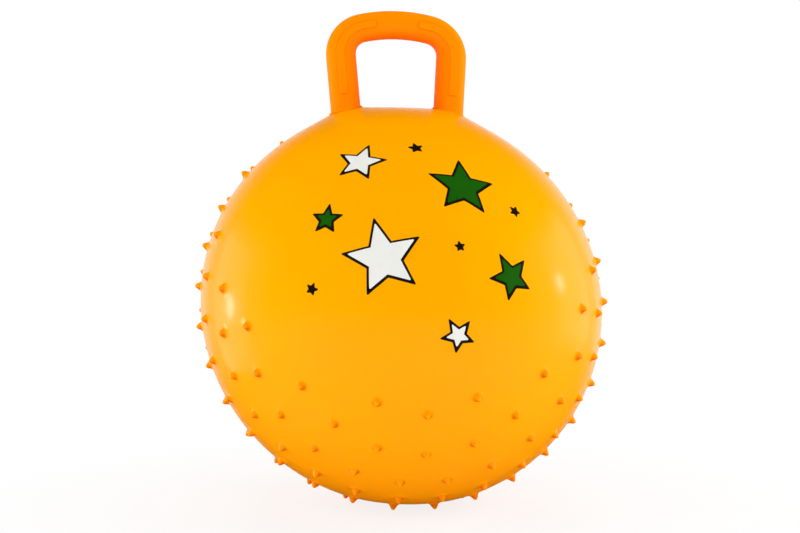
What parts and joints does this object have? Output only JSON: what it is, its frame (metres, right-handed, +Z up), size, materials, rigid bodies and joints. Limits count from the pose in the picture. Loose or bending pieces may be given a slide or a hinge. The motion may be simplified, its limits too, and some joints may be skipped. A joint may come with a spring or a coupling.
{
  "type": "hopper ball",
  "caption": "Inflatable ball to sit and bounce on, with blunt grip knobs, a smooth front panel, a welded loop handle on top and a push-in air plug in the back.",
  "frame": {"origin": "On the floor, midway under the ball, at the middle of the patch that it stands on", "axes": "+Z up, -Y the smooth front panel, +Y the air valve, X across the loop handle"},
  "size_m": [0.4618, 0.4495, 0.5555],
  "materials": {
    "ball_pvc": "glossy soft PVC, warm yellow-orange",
    "handle_pvc": "glossy soft PVC, deeper orange",
    "valve_pvc": "smooth soft PVC, orange",
    "plug_pe": "white polyethylene"
  },
  "bodies": {
    "ball": {"ball_shell": "ball_pvc", "handle": "handle_pvc", "valve_seat": "valve_pvc"},
    "plug": {"valve_plug": "plug_pe"}
  },
  "joints": [
    {"name": "plug_pull", "type": "slide", "parent": "ball", "child": "plug", "axis": [0, 1, 0], "range_m": [0, 0.03]}
  ]
}
